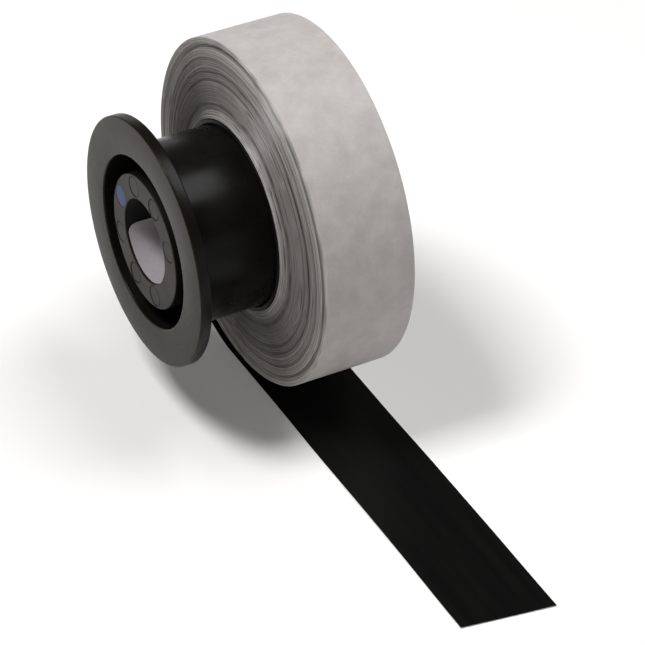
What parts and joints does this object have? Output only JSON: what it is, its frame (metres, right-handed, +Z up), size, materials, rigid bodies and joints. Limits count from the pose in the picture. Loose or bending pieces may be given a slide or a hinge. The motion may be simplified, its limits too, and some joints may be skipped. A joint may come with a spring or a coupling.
{
  "type": "adhesive foil tape roll on a spool",
  "caption": "Roll of wide adhesive foil tape on a core and a one-flanged black plastic spool, with its black-faced end drawn out flat.",
  "frame": {"origin": "on the spool's axis, in the plane of the flange's front face", "axes": "+X along the axis from the flange towards the tape, +Z up, and the free end of the tape runs along -Y"},
  "size_m": [0.0571, 0.1711, 0.0982],
  "materials": {
    "sleeve_plastic": "moulded black plastic, satin",
    "hub_plastic": "moulded black plastic, fine matt",
    "dot_plastic": "dull blue",
    "label_paper": "coated label paper",
    "core_plastic": "black tube, matt",
    "wound_edges": "slit edges of wound foil and liner",
    "release_liner": "warm grey release paper, matt",
    "black_foil": "black face of the foil, dull satin",
    "adhesive": "clear acrylic adhesive film"
  },
  "bodies": {
    "spool": {"spool_sleeve": "sleeve_plastic", "hub_insert": "hub_plastic", "colour_dot": "dot_plastic", "bore_label": "label_paper"},
    "roll": {"tape_core": "core_plastic", "wound_turns": "wound_edges", "outer_turn": "release_liner"},
    "free_run": {"free_foil": "black_foil", "free_adhesive": "adhesive", "free_liner": "release_liner"}
  },
  "joints": [
    {"name": "core_slide", "type": "slide", "parent": "spool", "child": "roll", "axis": [1, 0, 0], "range_m": [-0.0215, 0.028]},
    {"name": "tape_unwind", "type": "hinge", "parent": "roll", "child": "free_run", "pos_m": [0.0416, 0, 0], "axis": [-1, 0, 0], "continuous": true}
  ]
}
